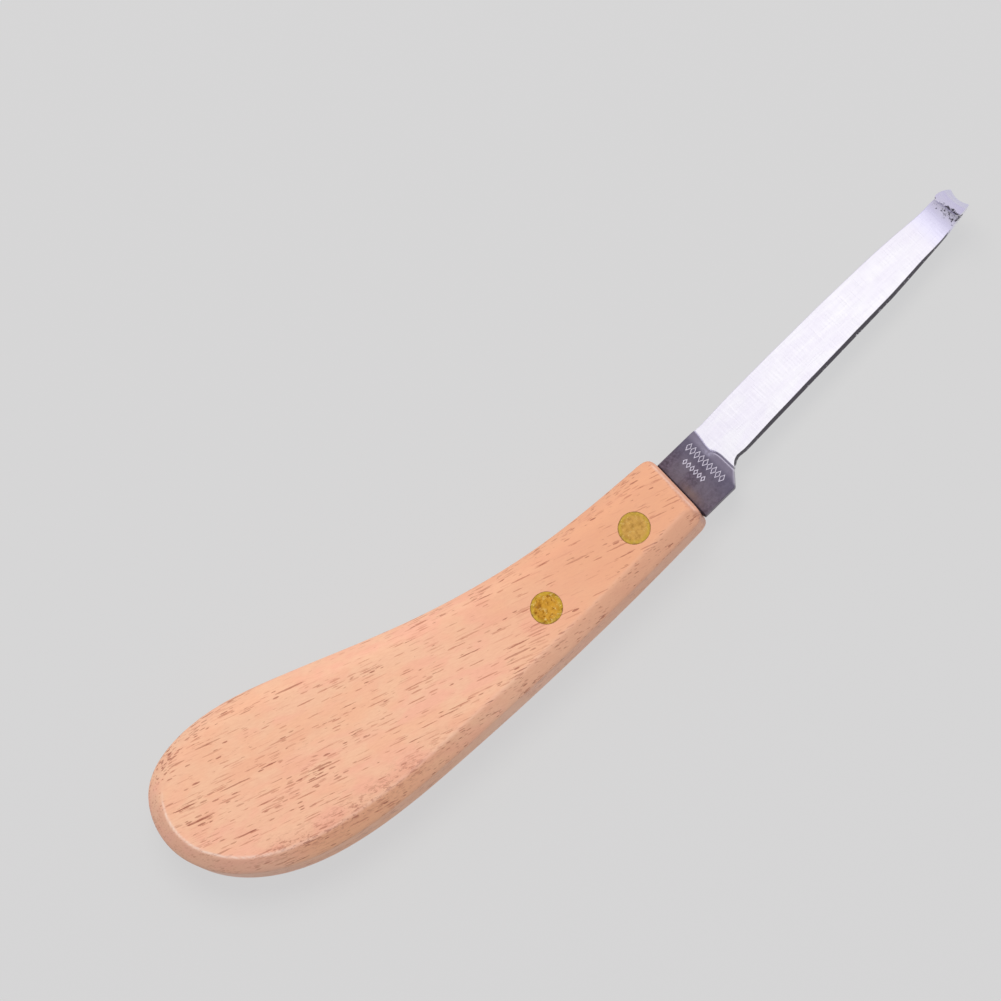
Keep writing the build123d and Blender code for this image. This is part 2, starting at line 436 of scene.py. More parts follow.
def wall_faces(rim, on_face):
    """Quads of the side wall. rim lists the top face's outer points, and each face has on_face points."""
    count = len(rim)
    rows = [rim]
    for row in range(WALL_ROWS - 1):
        first = 2 * on_face + row * count
        rows.append(list(range(first, first + count)))
    rows.append([k + on_face for k in rim])
    faces = []
    for above, below in zip(rows, rows[1:]):
        for k in range(count):
            nxt = (k + 1) % count
            faces.append((above[k], above[nxt], below[nxt], below[k]))
    return faces


def handle(material):
    """The wooden handle, with its bevels, the tang's slot and the rivets' holes."""
    loop = handle_outline()
    normal = inward(loop)
    side_line, facing = bevelled_side(loop, normal)
    flat, triangles, rim = filled(loop, normal)
    high, *front_wear_and_light = sanded_face(flat, side_line, facing, 4.0)
    low, *back_wear_and_light = sanded_face(flat, side_line, facing, 9.0)
    top, bottom = np.column_stack([flat, high]), np.column_stack([flat, -low])
    points = [top, bottom]
    for row in range(1, WALL_ROWS):
        share = row / WALL_ROWS
        points.append(top[rim] * (1 - share) + bottom[rim] * share)
    faces = triangles + [tuple(k + len(flat) for k in reversed(f)) for f in triangles]
    faces += wall_faces(rim, len(flat))
    piece = make_piece("handle_wood", np.vstack(points), faces, material)
    # Wear, dirt and the masks of painted highlight and shade, stored for the wood's material.
    for name, on_front, on_back in zip(WEAR_AND_PAINTED_LIGHT, front_wear_and_light, back_wear_and_light):
        on_wall = on_front[rim] if name in ("end_grain", "bevel") else np.zeros(len(rim))
        store(piece, name, np.concatenate([on_front, on_back, np.tile(on_wall, WALL_ROWS - 1)]))
    cut(piece, [tang_slot(), rivet_recess(FRONT_RIVET_X), rivet_recess(REAR_RIVET_X)])
    sharpen(piece, 50)
    return piece


def tang_slot():
    """The space that the tang lies in, a little larger than the tang."""
    room = 0.1
    points = []
    for x in (TANG_END - 0.8, 1.5):
        for y in (-TANG_HALF_WIDTH - room, TANG_HALF_WIDTH + room):
            for z in (BACK - room, -BACK + room):
                points.append((x, y + tang_y(x), z))
    faces = [(0, 1, 3, 2), (4, 6, 7, 5), (0, 4, 5, 1), (2, 3, 7, 6), (0, 2, 6, 4), (1, 5, 7, 3)]
    return make_piece("slot_cutter", points, faces, None)


def rivet_recess(x):
    """The stepped hole of one rivet."""
    wide, narrow, past = HEAD_RADIUS + CLEAR, TUBE_RADIUS + CLEAR, HALF + 1
    floor = HALF - HEAD_DEPTH
    profile = [(AXIS, past), (wide, past), (wide, floor), (narrow, floor), (narrow, -floor), (wide, -floor)]
    profile += [(wide, -past), (AXIS, -past)]
    return lathe("recess_cutter", profile, (x, tang_y(x)), None)


# ---- Blade ----


# The flat strip's two sides, as (length along the strip, y), before its tip is rolled up
SPINE = [
    (0, 7.08), (10, 6.68), (11.3, 6.42), (15, 6.49), (19, 6.53), (24, 6.5), (30, 6.4), (46, 5.98),
    (54.4, 5.58), (59.4, 5.34), (62.4, 5.12), (66.4, 4.78), (69.6, 4.44), (73, 4.07), (77, 4.02), (79, 3.8),
    (81, 3.05), (82.5, 2.5), (84, 2.2), (85.7, 2.3), (87, 3.0), (88.5, 3.45), (92, 3.6),
]
BELLY = [
    (0, -6.96), (7.5, -7.24), (7.7, -7.14), (10.0, -4.66), (10.4, -4.45), (10.9, -4.1), (11.7, -3.6),
    (12.6, -3.35), (13.5, -3.45), (14.7, -3.6), (57, -3.6), (61.5, -3.42), (66.4, -3.2), (70, -3.04),
    (73, -2.88), (77, -2.62), (81, -2.4), (83.5, -2.4), (86, -2.75), (92, -3.4),
]


def eased(s, outline, reach):
    """Y of an outline at s, averaged over reach to either side."""
    steps = (-reach, -reach / 2, 0, reach / 2, reach)
    return np.mean([np.interp(s + step, *zip(*outline)) for step in steps])


def spine_y(s):
    """Y of the spine side at s millimetres along the flat strip."""
    return eased(s, SPINE, 1.2)


def belly_y(s):
    """Y of the cutting-edge side at s: ricasso, cut corner, choil, long edge."""
    return eased(s, BELLY, 1.2 * float(smooth(60, 75, s)))


def ground_from(y):
    """Where along the blade the ground face begins, at y: a slightly wavy line."""
    reach = np.where(np.asarray(y) > 1.8, 3.4, 1.4)
    return ROOT + 0.2 - 0.75 * hump(y, 1.8, reach)


def front_z(s, y):
    """Height of the front face of the flat strip."""
    along = np.clip((s - ROOT) / (BEND - ROOT), 0, 1)
    tip = BACK + TIP_STEEL
    spine = (-BACK - GROUND_AT_SPINE) * (1 - along) + tip * along
    edge = (-BACK - GROUND_AT_EDGE) * (1 - along) + tip * along
    across = np.clip((WIDEST - y) / (2 * WIDEST), 0, 1)
    ground = spine + (edge - spine) * across
    past = s - ground_from(y)
    begun = smooth(-0.05, 0.26 - 0.1 * smooth(1.0, 3.0, y), past)
    burr = 0.05 * hump(past, LEDGE, 0.13) * smooth(1.6, 0.2, y)
    return -BACK * (1 - begun) + ground * begun + burr


def bend_table():
    """The bend as columns: length along the outer face, turn, and the outer face's x and z."""
    step = 0.02
    length = np.arange(-2, 22, step)
    curve = smooth(-0.8, 0.8, length) / EASE_RADIUS
    curve += smooth(-1.2, 0.8, length - EASE_LENGTH) * (1 / ROLL_RADIUS - 1 / EASE_RADIUS)
    turn = np.cumsum(curve) * step
    x = length[0] + np.concatenate([[0], np.cumsum(np.cos(turn[:-1]) * step)])
    z = np.concatenate([[0], np.cumsum(np.sin(turn[:-1]) * step)])
    return length, turn, x, z


BEND_LENGTH, BEND_TURN, BEND_X, BEND_Z = bend_table()
LIP = BEND + float(np.interp(HOOK_TURN, BEND_TURN, BEND_LENGTH))


def bent(points):
    """Points of the flat strip, rolled up beyond the line where the bend begins."""
    x, y, z = np.asarray(points, float).T
    c, s = math.cos(BEND_SKEW), math.sin(BEND_SKEW)
    ahead = (x - BEND) * c + (y - BEND_MIDDLE) * s
    aside = -(x - BEND) * s + (y - BEND_MIDDLE) * c
    rolls = ahead > BEND_LENGTH[0]
    turn = np.where(rolls, np.interp(ahead, BEND_LENGTH, BEND_TURN), 0)
    out_x = np.where(rolls, np.interp(ahead, BEND_LENGTH, BEND_X), ahead)
    out_z = np.where(rolls, np.interp(ahead, BEND_LENGTH, BEND_Z), 0)
    high = z - BACK
    bowl = np.clip(1 - ((aside + 0.55) / 2.4) ** 2, 0, 1)
    hollow = HOOK_HOLLOW * bowl * np.sin(np.clip(turn, 0, math.pi)) ** 2
    ahead = out_x - (high + hollow) * np.sin(turn)
    z = BACK + out_z + high * np.cos(turn)
    return np.column_stack([BEND + ahead * c - aside * s, BEND_MIDDLE + ahead * s + aside * c, z])


def stations():
    """Where along the strip its cross-sections lie, closer together where the shape changes."""
    spans = [
        (TANG_END, TANG_END + 3, 0.3), (TANG_END + 3, -1, 2.0), (-1, -0.02, 0.49), (0, 1.2, 0.12),
        (1.2, 7, 0.5), (7, 8.4, 0.2), (8.4, 13.6, 0.1), (13.6, BEND - 1.5, 0.9),
        (BEND - 1.5, LIP - LIP_ROUND, 0.22), (LIP - LIP_ROUND, LIP, 0.07),
    ]
    found = []
    for low, high, step in spans:
        found += list(np.linspace(low, high, max(2, round((high - low) / step) + 1))[:-1])
    return found + [LIP]


def face_points(start, end):
    """Values of y across a face, the outermost ones close together so that its edges look crisp."""
    near = math.copysign(0.03, end - start)
    return np.concatenate([[start], np.linspace(start + near, end - near, ACROSS - 2), [end]])


def quarter(radius, near):
    """How far a quarter circle lies inside its corner, near millimetres from where it begins."""
    return radius - math.sqrt(max(radius ** 2 - near ** 2, 0))


def ends_of(s):
    """Y of the strip's two sides at s, with the tang's end and the lip's corners rounded."""
    if s < 0:
        drawn = quarter(TANG_CORNER, max(TANG_CORNER - (s - TANG_END), 0))
        return tang_y(s) + TANG_HALF_WIDTH - drawn, tang_y(s) - TANG_HALF_WIDTH + drawn
    drawn = quarter(LIP_ROUND, max(s - LIP + LIP_ROUND, 0))
    return float(spine_y(s)) - drawn, float(belly_y(s)) + 0.7 * drawn


def bevel_width(s):
    """Width of the sharpened bevel at s, a little uneven as it is ground by hand."""
    middle = float(smooth(11, 30, s) * smooth(BEND + 2, 45, s))
    width = 0.47 + 0.2 * middle - 0.3 * float(smooth(BEND - 6, BEND + 3, s))
    return width + 0.045 * wander(s, 0, 0, 5.0, 2) + 0.012 * wander(s, 0, 0, 1.1, 6)


def section(s):
    """The strip's cross-section at s, as a closed ring of (x, y, z, dark): back face, spine, front face,
    cutting edge. The last value says how much a point is painted dark, as a dark reflection on the sharpened
    bevel and the cutting edge."""
    top, low = ends_of(s)
    sharp = float(smooth(9.9, 11.3, s))
    # How far along the blade the sharpened bevel is painted dark, as a dark reflection.
    coarse = sharp * float(smooth(BEND + 6.5, BEND + 2, s))
    fade = float(smooth(BEND, LIP - 2, s))
    thin = float(smooth(LIP - 2.6, LIP, s))
    flat = RICASSO_CHAMFER * (1 - sharp) + bevel_width(s) * sharp
    back_z = BACK + 0.15 * thin
    corner = top - SPINE_ROUND

    def face(y):
        return float(front_z(s, y)) - 0.35 * thin

    edge_top = face(low + flat)
    land = (edge_top - RICASSO_CHAMFER) * (1 - sharp) + (BACK + EDGE_LAND + 0.35 * fade) * sharp
    rounding = [(SPINE_ROUND * math.sin(turn), SPINE_ROUND * (1 - math.cos(turn))) for turn in SPINE_TURNS]
    ring = [(y, back_z, 0) for y in face_points(low + 0.12, corner)]
    ring += [(corner + out, back_z + up, 0) for out, up in rounding]
    ring += [(corner + out, face(corner) - up, 0) for out, up in reversed(rounding)]
    ring += [(y, face(y), 0) for y in face_points(corner, low + flat)]
    for share, bare in ((0.04, 1), (0.36, 1), (0.68, 0.75)):
        ring.append((low + flat * (1 - share), edge_top * (1 - share) + land * share, bare * coarse))
    ring += [(low + 0.02, land, 0.72 * coarse), (low, land - 0.05, 0.72 * coarse)]
    ring += [(low, back_z + 0.1, 0.66 * coarse), (low + 0.04, back_z + 0.04, 0)]
    lean = END_LEAN * float(smooth(-5, -1, s) * (1 - smooth(0, 5, s)))
    slant = LIP_SLANT * float(smooth(LIP - 5, LIP, s))
    return [(s + lean * (y - END_BACK_Y) + slant * y, y, z, bare) for y, z, bare in ring]


def strip_faces(count, size):
    """Quads that join count rings of size points each, and faces that close the first and the last ring."""
    faces = []
    for k in range(count - 1):
        for i in range(size):
            j = (i + 1) % size
            faces.append((k * size + i, k * size + j, (k + 1) * size + j, (k + 1) * size + i))
    front_start = ACROSS + 2 * len(SPINE_TURNS)
    front_end = front_start + ACROSS - 1
    for base in (0, (count - 1) * size):
        for i in range(ACROSS - 1):
            opposite = base + front_end - i
            faces.append((base + i, base + i + 1, opposite - 1, opposite))
        faces.append([base + k for k in range(ACROSS - 1, front_start + 1)])
        faces.append([base + k % size for k in range(front_end, size + 1)])
    return faces


def painted_darkness(x, y, z, bare):
    """How dark each point of the strip is painted: dark reflections on the bevel, and shade at the lip and
    inside the hook.
    """
    inner = z > BACK + 0.4
    lower = smooth(3.2, -1.0, y)
    throat = smooth(BEND + 4.0, BEND + 6.0, x) * smooth(LIP - 5, LIP - 9, x)
    from_lip = LIP + LIP_SLANT * y - x
    near_lip = smooth(1.3, 0.3, from_lip)
    return np.maximum(bare, np.where(inner, throat * (0.36 + 0.16 * lower), near_lip * (0.4 + 0.24 * lower)))


def steel_marks(x, y, z, bare):
    """What the steel's material has to know of each point of the flat strip, by name: the ground face, a
    lighter
    patch before it, and painted light: a lilac reflection on the bend and the hook, dark reflections and
    shade on the sharpened bevel, at the lip and inside the hook, a highlight along the ground face's start, a
    shadow on the wall after it, and beside the wood a shadow where the steel meets it and a reflection of the
    wood."""
    front = z > BACK + 0.3
    past = x - ground_from(y)
    smear = np.minimum(hump(y, 1.2, 1.0) + 0.45 * hump(y, 3.6, 1.8), 1)
    on_edge = smooth(0.4, 0.1, y - np.interp(x, *zip(*BELLY))) * smooth(7.6, 8.2, x) * smooth(10.8, 10.0, x)
    from_wood = x - (y - END_BACK_Y) * END_LEAN
    # Painted reflection: a lilac tint where the bend begins and over the top of the hook.
    curl = hump(x - BEND, 14.5, 2.6) + 0.8 * smooth(-2, 2.5, x - BEND) * smooth(7, 4, x - BEND)
    return {
        "ground": np.where(front, smooth(-0.08, 0.1, past), smooth(-0.2, 0.4, x - ROOT)),
        "curl": curl,
        "smear": np.where(front, hump(past, -0.7, 0.55) * smear, 0),
        "bare": np.clip(painted_darkness(x, y, z, bare), 0, 1),
        # Painted highlight along the ground face's start and on the ricasso's edge at the choil.
        "ledge": np.where(front, hump(past, LEDGE, 0.15) * smooth(1.2, 0.2, y) + 0.6 * on_edge, 0),
        # Painted shadow on the plunge wall after it.
        "wall": np.where(front, hump(past, 0.1, 0.17) * smooth(1.4, 0.2, y), 0),
        # Painted shadow where the steel meets the wood.
        "seam": smooth(0.5, 0.22, from_wood),
        # Painted reflection of the wood on the ricasso beside the handle.
        "stain": hump(from_wood, 1.1, 0.9) * hump(y, -1.8, 2.6),
    }


def diamond(x, y, half_long, half_wide):
    """A ring-shaped cutter that leaves one engraved diamond on the ricasso's front face."""
    points, faces = [], []
    for z in (-BACK - STAMP_DEPTH, -BACK + 0.3):
        for share in (1, 1 - STAMP_LINE / half_long):
            for along, across in ((1, 0), (0, 1), (-1, 0), (0, -1)):
                points.append((x + along * half_long * share, y + across * half_wide * share, z))
    for k in range(4):
        n = (k + 1) % 4
        faces += [(k, n, 8 + n, 8 + k), (4 + k, 12 + k, 12 + n, 4 + n)]
        faces += [(k, 4 + k, 4 + n, n), (8 + k, 8 + n, 12 + n, 12 + k)]
    return points, faces


def stamp_cutter(material):
    """Two rows of small plain diamonds, as (x, first and last y, how many, half their length and width)."""
    points, faces = [], []
    rows = [(7.1, 5.1, -4.1, 9, 1.05, 0.53), (4.4, 3.6, -1.4, 6, 0.78, 0.45)]
    for x, first, last, count, half_long, half_wide in rows:
        for y in np.linspace(first, last, count):
            ring, sides = diamond(x, y, half_long, half_wide)
            faces += [tuple(k + len(points) for k in side) for side in sides]
            points += ring
    return make_piece("stamp_cutter", points, faces, material)


def tang_hole(x):
    """The hole that a rivet's tube goes through."""
    radius, past = TUBE_RADIUS + CLEAR / 2, 3
    profile = [(AXIS, past), (radius, past), (radius, -past), (AXIS, -past)]
    return lathe("hole_cutter", profile, (x, tang_y(x)), None, segments=48)


def blade(material, stamped):
    """Tang, ricasso, blade and hook: rings of points round a flat strip, joined and rolled up at the tip."""
    rings = [section(s) for s in stations()]
    x, y, z, bare = np.array([point for ring in rings for point in ring]).T
    faces = strip_faces(len(rings), len(rings[0]))
    piece = make_piece("blade_steel", bent(np.column_stack([x, y, z])), faces, material)
    for name, values in steel_marks(x, y, z, bare).items():
        store(piece, name, values)
    cut(piece, [tang_hole(FRONT_RIVET_X), tang_hole(REAR_RIVET_X), stamp_cutter(stamped)])
    sharpen(piece, 32)
    return piece


# ---- Rivets ----


def rivet_pair(name, x, brass, seed):
    """Both halves of one cutlery rivet, sanded flush."""
    at = (x, tang_y(x))
    face, under = HALF - 0.005, HALF - HEAD_DEPTH
    rings = np.linspace(CENTRE, HEAD_RADIUS - HEAD_EDGE, 16)
    head = [(r, face - 0.015 * (r / HEAD_RADIUS) ** 2) for r in rings]
    head += [(HEAD_RADIUS - 0.02, face - 0.035), (HEAD_RADIUS, face - HEAD_EDGE), (HEAD_RADIUS, under)]
    pin = head + [(PIN_RADIUS, under), (PIN_RADIUS, 0.6 - under)]
    pin += [(PIN_RADIUS - 0.2, 0.4 - under), (CENTRE, 0.4 - under)]
    mouth = under - 0.4
    tube = [(r, -z) for r, z in head]
    tube += [(TUBE_RADIUS, -under), (TUBE_RADIUS, mouth - 0.1), (TUBE_RADIUS - 0.1, mouth)]
    tube += [(PIN_RADIUS + CLEAR, mouth), (PIN_RADIUS + CLEAR, -under), (CENTRE, -under)]
    made = []
    for half, profile, half_seed in (("pin", pin, seed), ("tube", tube, seed + 11)):
        piece = lathe(f"{name}_rivet_{half}_brass", profile, at, brass, rough=0.035, seed=half_seed)
        store(piece, "rim", np.repeat([r / HEAD_RADIUS for r, _ in profile], SEGMENTS))
        sharpen(piece, 40)
        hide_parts(f"{name}_rivet_{half}")
        made.append(piece)
    return made


# ---- Materials ----


class Nodes:
    """A material's node tree, with short calls for the nodes used here."""

    def __init__(self, name):
        self.material = bpy.data.materials.new(name)
        self.material.use_nodes = True
        self.tree = self.material.node_tree
        self.shader = self.tree.nodes["Principled BSDF"]

    def put(self, socket, value):
        if isinstance(value, bpy.types.NodeSocket):
            self.tree.links.new(value, socket)
        elif isinstance(value, (tuple, list)) and len(socket.default_value) > len(value):
            socket.default_value = tuple(value) + (1,)
        else:
            socket.default_value = value

    def add(self, kind, inputs=(), **settings):
        node = self.tree.nodes.new(kind)
        for key, value in settings.items():
            setattr(node, key, value)
        for key, value in dict(inputs).items():
            self.put(node.inputs[key], value)
        return node

    def plus(self, a, b):
        return self.add("ShaderNodeMath", {0: a, 1: b}, operation="ADD").outputs[0]

    def minus(self, a, b):
        return self.add("ShaderNodeMath", {0: a, 1: b}, operation="SUBTRACT").outputs[0]

    def times(self, a, b):
        return self.add("ShaderNodeMath", {0: a, 1: b}, operation="MULTIPLY").outputs[0]

    def ramp(self, value, low, high, to_low=0.0, to_high=1.0, kind="SMOOTHSTEP"):
        inputs = {"Value": value, "From Min": low, "From Max": high, "To Min": to_low, "To Max": to_high}
        return self.add("ShaderNodeMapRange", inputs, interpolation_type=kind).outputs["Result"]

    def mix(self, share, a, b):
        node = self.add("ShaderNodeMix", data_type="RGBA")
        self.put(node.inputs[0], share)
        self.put(node.inputs[6], a)
        self.put(node.inputs[7], b)
        return node.outputs[2]

    def coats(self, colour, *layers):
        """The colour with each layer's (share, colour) mixed over it in turn."""
        for share, over in layers:
            colour = self.mix(share, colour, over)
        return colour

    def stored(self, name):
        """The numbers that were stored at the mesh's points under this name."""
        return self.add("ShaderNodeAttribute", attribute_name=name).outputs["Fac"]

    def place(self, turn=0.0, sizes=(1, 1, 1), move=(0, 0, 0)):
        """Where a point is in the drawing frame, turned about Z by turn degrees, in units of the given sizes
        in millimetres, and then moved."""
        at = self.add("ShaderNodeTexCoord").outputs["Object"]
        at = self.add("ShaderNodeVectorMath", {0: at, 1: tuple(ORIGIN)}, operation="SUBTRACT").outputs[0]
        turned = self.add("ShaderNodeMapping", {"Vector": at, "Rotation": (0, 0, math.radians(turn))})
        scale = tuple(1 / size / MM for size in sizes)
        inputs = {"Vector": turned.outputs[0], "Scale": scale, "Location": move}
        return self.add("ShaderNodeMapping", inputs).outputs[0]

    def along(self):
        """X in the drawing frame, in millimetres."""
        return self.add("ShaderNodeSeparateXYZ", {"Vector": self.place()}).outputs[0]

    def noise(self, at, detail=2.0, rough=0.5, twist=0.0):
        inputs = {"Vector": at, "Scale": 1.0, "Detail": detail, "Roughness": rough, "Distortion": twist}
        return self.add("ShaderNodeTexNoise", inputs).outputs["Fac"]

    def bump(self, height, strength, distance, normal=None):
        inputs = {"Height": height, "Strength": strength, "Distance": distance}
        if normal is not None:
            inputs["Normal"] = normal
        return self.add("ShaderNodeBump", inputs).outputs[0]

    def finish(self, **inputs):
        for key, value in inputs.items():
            self.put(self.shader.inputs[key.replace("_", " ")], value)
        return self.material


def rgb(red, green, blue):
    """A linear colour from 0 to 255 display values."""
    spread = [v / 255 for v in (red, green, blue)]
    return tuple(v / 12.92 if v < 0.04045 else ((v + 0.055) / 1.055) ** 2.4 for v in spread)


GRAIN = 21.0  # degrees that the grain runs down to the cutting-edge side, towards the front


def pores(nodes, length, width, share, seed, crowd, ragged):
    """Short dark streaks along the grain, in a share of the cells of a stretched pattern. crowd makes more or
    fewer of them, and ragged makes their outlines uneven."""
    at = nodes.place(GRAIN, (length, width, width), (seed, 2 * seed, 3 * seed))
    cell = nodes.add("ShaderNodeTexVoronoi", {"Vector": at, "Scale": 1.0, "Randomness": 1.0})
    pick = nodes.add("ShaderNodeSeparateColor", {"Color": cell.outputs["Color"]})
    drawn = nodes.times(pick.outputs[0], crowd)
    size = nodes.ramp(drawn, 1 - share, 1.0, 0.0, 0.45, "LINEAR")
    from_edge = nodes.minus(nodes.plus(size, ragged), cell.outputs["Distance"])
    strength = nodes.ramp(pick.outputs[1], 0.0, 1.0, 0.35, 1.0, "LINEAR")
    return nodes.times(nodes.ramp(from_edge, 0.0, 0.1), strength)


def wood_pores(nodes, along, fibre):
    """The pores in layers of (mask, share, colour, depth), from fine and pale to long and dark."""
    crowd = nodes.noise(nodes.place(GRAIN, (16, 4, 4), (9, 9, 9)))
    crowd = nodes.ramp(crowd, 0.32, 0.68, 0.76, 1.14)
    behind = nodes.ramp(along, -98.0, -82.0, 1.16, 0.92)
    ahead = nodes.ramp(along, -65.0, -45.0, 0, 0.07)
    by_place = nodes.times(crowd, nodes.plus(behind, ahead))
    ragged = nodes.times(nodes.minus(fibre, 0.53), 0.42)
    return [
        (pores(nodes, 6.5, 0.42, 0.8, 7.9, crowd, ragged), 0.45, rgb(214, 146, 118), 0.3),
        (pores(nodes, 3.4, 0.44, 0.68, 4.1, crowd, ragged), 0.66, rgb(194, 122, 94), 0.6),
        (pores(nodes, 7.0, 0.42, 0.68, 11.3, by_place, ragged), 0.72, rgb(188, 116, 88), 0.6),
        (pores(nodes, 2.2, 0.46, 0.36, 5.3, by_place, ragged), 0.85, rgb(172, 104, 78), 0.9),
        (pores(nodes, 9.0, 0.5, 0.48, 1.7, by_place, ragged), 0.88, rgb(168, 98, 72), 0.9),
    ]


def wood_colour(nodes, along, bevel, fibre):
    """The wood's colour before its pores: blotched and redder to the front, with painted shade and light on
    the lower bevel.
    """
    broad = nodes.noise(nodes.place(GRAIN, (30, 8, 8)), 3, 0.55, 0.4)
    bands = nodes.noise(nodes.place(GRAIN, (30, 2.4, 2.4), (5, 1, 2)))
    blotch = nodes.noise(nodes.place(GRAIN, (7, 4, 4), (8, 3, 5)))
    # Painted shade on the lower bevel towards the butt, and painted light on it towards the front.
    bevel_shade = nodes.times(bevel, nodes.ramp(along, -90.0, -50.0, 1.0, 0.0))
    bevel_shade = nodes.times(bevel_shade, nodes.ramp(along, -112.0, -100.0, 0.0, 1.0))
    bevel_light = nodes.times(bevel, nodes.ramp(along, -75.0, -40.0, 0.0, 0.36))
    return nodes.coats(
        nodes.mix(nodes.ramp(broad, 0.38, 0.64), rgb(244, 190, 152), rgb(245, 186, 155)),
        (nodes.ramp(blotch, 0.4, 0.6, 0.7, 0.0), rgb(244, 198, 160)),
        (bevel_shade, rgb(240, 182, 139)),
        (nodes.ramp(along, -60.0, -15.0, 0.0, 0.9), rgb(235, 173, 132)),
        (bevel_light, rgb(250, 196, 160)),
        (nodes.ramp(bands, 0.45, 0.75, 0, 0.2), rgb(230, 162, 130)),
        (nodes.ramp(fibre, 0.35, 0.72, 0, 0.26), rgb(224, 160, 130)),
    )


def wood():
    """Oiled wood with open pores and dirt rubbed in beside the lower bevel, with painted highlights along the
    sanded edges and painted shade and light on the bevels and the front end grain.
    """
    nodes = Nodes("oiled_wood")
    crease, rubbed, end_grain, bevel = (nodes.stored(name) for name in WEAR_AND_PAINTED_LIGHT)
    along = nodes.along()
    fibre = nodes.noise(nodes.place(GRAIN, (1.5, 0.3, 0.3), (3, 7, 1)), 3, 0.65)
    butt_bevel = nodes.times(bevel, nodes.ramp(along, -115.0, -104.0, 1.0, 0.0))
    closed = nodes.plus(nodes.times(end_grain, 0.5), nodes.times(butt_bevel, 0.65))
    open_grain = nodes.minus(1.0, closed)
    colour = wood_colour(nodes, along, bevel, fibre)
    # Painted shade: the bevel at the butt is coloured darker.
    colour = nodes.mix(nodes.times(butt_bevel, 0.4), colour, rgb(228, 176, 150))
    depth = nodes.plus(nodes.times(fibre, 0.3), 1.0)
    for mask, share, dark, dent in wood_pores(nodes, along, fibre):
        mask = nodes.times(mask, open_grain)
        colour = nodes.mix(nodes.times(mask, share), colour, dark)
        depth = nodes.minus(depth, nodes.times(mask, dent))
    dirt = nodes.noise(nodes.place(GRAIN, (1.3, 0.5, 0.5), (2, 6, 4)), 3, 0.7)
    dirt = nodes.times(nodes.ramp(dirt, 0.5, 0.64, 0.12, 0.85), rubbed)
    broken = nodes.ramp(nodes.noise(nodes.place(0, (1.2, 1.2, 1.2)), 3, 0.6), 0.3, 0.55, 0.35, 0.8)
    # Painted highlight along the sanded edges, strongest at the butt and broken up by noise.
    crease = nodes.times(crease, nodes.ramp(along, -117.0, -100.0, 1.0, 0.55))
    colour = nodes.coats(
        colour,
        (dirt, rgb(182, 118, 94)),
        # Painted shade: the front end grain is coloured darker.
        (nodes.times(end_grain, 0.72), rgb(208, 150, 122)),
        (nodes.times(crease, broken), rgb(255, 230, 212)),
    )
    normal = nodes.bump(depth, 0.5, 0.00012)
    rough = nodes.ramp(nodes.noise(nodes.place(0, (6, 6, 6)), 3), 0.3, 0.7, 0.46, 0.6)
    return nodes.finish(Base_Color=colour, Roughness=rough, Normal=normal, Specular_IOR_Level=0.5)


def scaled_steel(nodes, cloud, spots, smear, stain):
    """The colour of the dark scale on the ricasso, with a lighter smear and a painted reflection of the wood.
    """
    along = nodes.along()
    return nodes.coats(
        nodes.mix(nodes.ramp(spots, 0.3, 0.72), rgb(98, 86, 96), rgb(136, 124, 136)),
        (nodes.ramp(cloud, 0.42, 0.72, 0, 0.6), rgb(148, 140, 148)),
        (nodes.ramp(along, 2.0, 8.0, 0.0, 0.55), rgb(122, 120, 140)),
        (nodes.ramp(along, 7.6, 9.0, 0.0, 0.6), rgb(165, 157, 172)),
        # Painted reflection: the wood's brown on the ricasso beside the handle.
        (nodes.times(stain, 0.7), rgb(156, 134, 124)),
        (nodes.times(smear, nodes.ramp(spots, 0.35, 0.6, 0.25, 1.0)), rgb(196, 192, 208)),
    )


